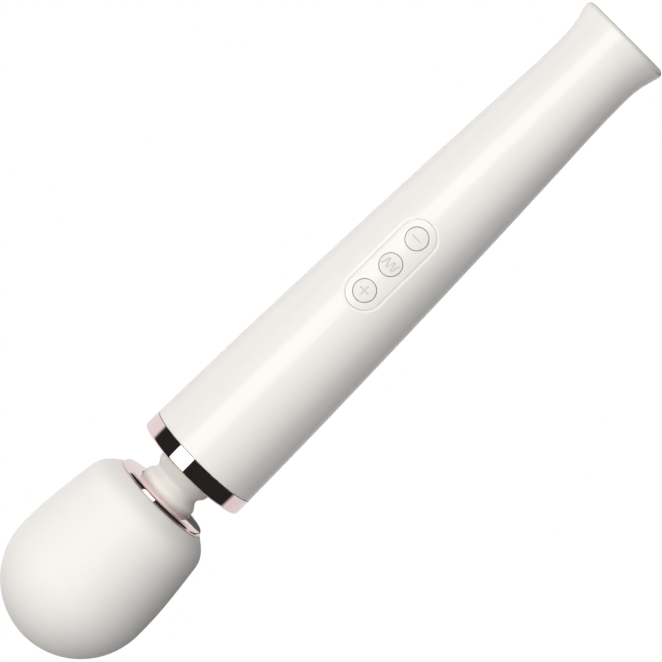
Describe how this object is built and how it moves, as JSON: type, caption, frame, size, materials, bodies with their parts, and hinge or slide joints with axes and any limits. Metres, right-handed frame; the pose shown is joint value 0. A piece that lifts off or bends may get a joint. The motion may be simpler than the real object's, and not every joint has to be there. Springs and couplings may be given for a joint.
{
  "type": "handheld wand massager",
  "caption": "Cordless wand massager: tapered pearl handle with an oval panel of push buttons, polished trim band, flexible waisted neck and a soft domed head.",
  "frame": {"origin": "centre of the flat rim of the handle's tail, on which the wand stands", "axes": "+Z along the wand from the tail to the crown of the head; the buttons face -Y; +X to the right when looking at the buttons with the head up"},
  "size_m": [0.0646, 0.0646, 0.3388],
  "materials": {
    "casing_white": "pearl gloss",
    "plate_white": "satin",
    "button_white": "satin",
    "soft_white": "matte silicone",
    "neck_white": "matte silicone",
    "rose_gold": "polished rose gold plating",
    "inner_plastic": "moulded",
    "black_plastic": "moulded",
    "connector_plastic": "moulded",
    "screw_steel": "zinc plated",
    "shaft_steel": "ground",
    "spring_steel": "drawn",
    "steel_can": "plated",
    "armature_steel": "laminated",
    "magnet_dark": "sintered",
    "nickel": "plated",
    "bronze": "sintered",
    "copper": "machined",
    "brass": "machined",
    "black_rubber": "moulded",
    "lead_red": "insulation",
    "board_green": "solder mask",
    "cell_wrap": "shrink sleeve"
  },
  "bodies": {
    "handle": {"front_shell": "casing_white", "rear_shell": "casing_white", "button_panel": "casing_white", "trim_band": "rose_gold", "front_plate": "plate_white", "neck_clamp": "inner_plastic", "clamp_screws": "screw_steel", "tail_cap": "plate_white", "tail_frame": "inner_plastic", "tail_screws": "screw_steel", "charge_socket": "black_plastic", "charge_leads": "lead_red", "main_board": "board_green", "board_screws": "screw_steel", "board_chips": "black_plastic", "board_connectors": "connector_plastic", "lower_cell": "cell_wrap", "upper_cell": "cell_wrap", "battery_tray": "inner_plastic", "battery_clips": "spring_steel", "battery_tabs": "nickel", "battery_leads": "lead_red", "motor_can": "steel_can", "motor_end_cap": "black_plastic", "motor_magnets": "magnet_dark", "motor_bushes": "bronze", "motor_brushes": "magnet_dark", "motor_bracket": "spring_steel", "motor_damper": "black_rubber", "motor_screws": "screw_steel", "motor_leads": "lead_red", "plus_switch": "black_plastic", "pattern_switch": "black_plastic", "minus_switch": "black_plastic"},
    "motor_rotor": {"motor_shaft": "shaft_steel", "motor_armature": "armature_steel", "motor_commutator": "copper", "lower_coupling": "brass"},
    "neck": {"neck_sleeve": "neck_white", "drive_spring": "spring_steel"},
    "head": {"head_collar": "rose_gold", "collar_screws": "screw_steel", "head_base": "inner_plastic", "carrier_screws": "screw_steel", "shell_screws": "screw_steel", "bearing_carrier": "inner_plastic", "head_shell": "inner_plastic", "head_cover": "soft_white", "bearing_outer_rings": "shaft_steel", "bearing_balls": "shaft_steel"},
    "eccentric": {"upper_coupling": "brass", "head_shaft": "shaft_steel", "eccentric_weight": "brass", "bearing_inner_rings": "shaft_steel"},
    "plus_key": {"plus_button": "button_white", "plus_stem": "black_plastic"},
    "pattern_key": {"pattern_button": "button_white", "pattern_stem": "black_plastic"},
    "minus_key": {"minus_button": "button_white", "minus_stem": "black_plastic"}
  },
  "joints": [
    {"name": "neck_pitch", "type": "hinge", "parent": "handle", "child": "neck", "pos_m": [0, 0, 0.2518], "axis": [1, 0, 0], "range_deg": [-20, 20], "stiffness_Nm_per_rad": 3, "deforming": ["neck_sleeve", "drive_spring"]},
    {"name": "neck_yaw", "type": "hinge", "parent": "neck", "child": "head", "pos_m": [0, 0, 0.2518], "axis": [0, 1, 0], "range_deg": [-20, 20], "stiffness_Nm_per_rad": 3, "deforming": ["neck_sleeve", "drive_spring"]},
    {"name": "motor_spin", "type": "hinge", "parent": "handle", "child": "motor_rotor", "pos_m": [0, 0, 0.2], "axis": [0, 0, 1], "continuous": true},
    {"name": "eccentric_spin", "type": "hinge", "parent": "head", "child": "eccentric", "pos_m": [0, 0, 0.299], "axis": [0, 0, 1], "continuous": true},
    {"name": "plus_press", "type": "slide", "parent": "handle", "child": "plus_key", "axis": [0, 1, 0], "range_m": [0, 0.0005], "stiffness_N_per_m": 400, "springref_m": -0.002},
    {"name": "pattern_press", "type": "slide", "parent": "handle", "child": "pattern_key", "axis": [0, 1, 0], "range_m": [0, 0.0005], "stiffness_N_per_m": 400, "springref_m": -0.002},
    {"name": "minus_press", "type": "slide", "parent": "handle", "child": "minus_key", "axis": [0, 1, 0], "range_m": [0, 0.0005], "stiffness_N_per_m": 400, "springref_m": -0.002}
  ],
  "couplings": [
    {"joint": "eccentric_spin", "follows": "motor_spin", "ratio": 1}
  ]
}
